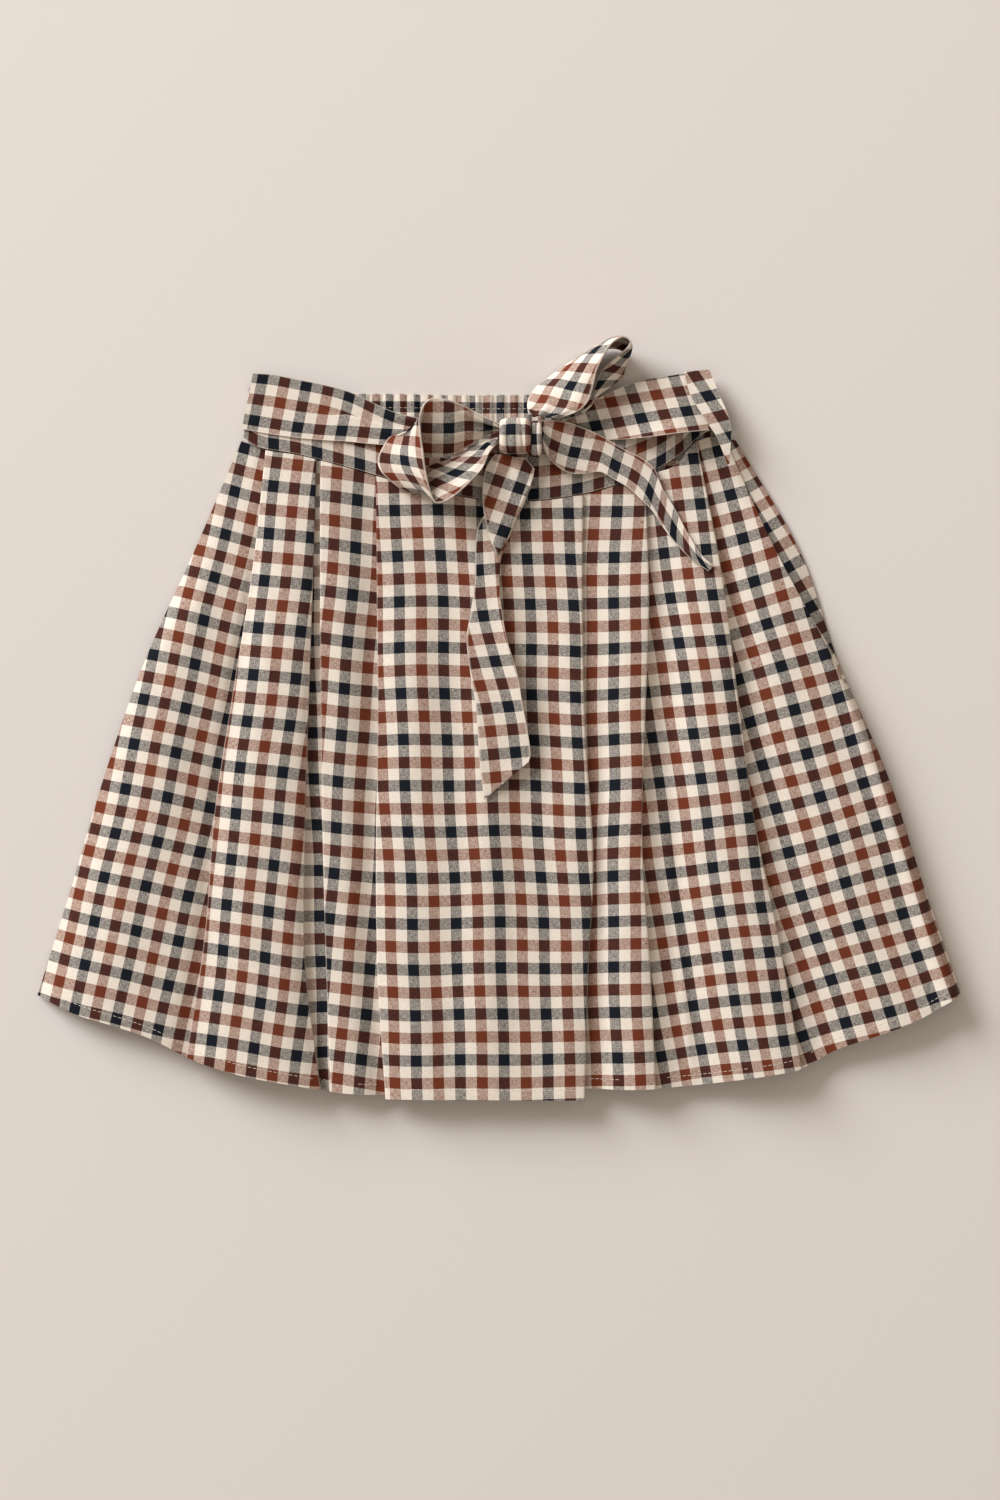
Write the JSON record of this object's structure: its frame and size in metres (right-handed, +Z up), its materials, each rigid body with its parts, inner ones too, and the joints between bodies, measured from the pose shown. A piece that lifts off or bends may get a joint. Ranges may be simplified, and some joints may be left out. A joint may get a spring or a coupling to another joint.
{
  "type": "skort",
  "caption": "Flared knee-length girl's skort laid flat: box-pleated skirt front over plain inner shorts, elastic back waistband, shaped front band and a sash tied in a bow.",
  "frame": {"origin": "on the surface that the garment lies on, under the middle of its bounding box", "axes": "+X towards the right of the garment as seen from above, +Y from hem to waist, +Z up from the surface"},
  "size_m": [0.5307, 0.4362, 0.0305],
  "materials": {
    "gingham": "matte",
    "thread": "matte"
  },
  "bodies": {
    "root": {"skirt_back": "gingham", "waistband_back": "gingham", "shorts_leg_left": "gingham", "shorts_leg_right": "gingham", "skirt_front_left": "gingham", "skirt_front_centre": "gingham", "skirt_front_right": "gingham", "waistband_front": "gingham", "sash_left": "gingham", "sash_right": "gingham", "sash_loop_right": "gingham", "bow_loop_left": "gingham", "bow_loop_right": "gingham", "bow_tail_left": "gingham", "bow_tail_right": "gingham", "bow_knot": "gingham", "bow_wrap": "gingham"}
  },
  "joints": []
}
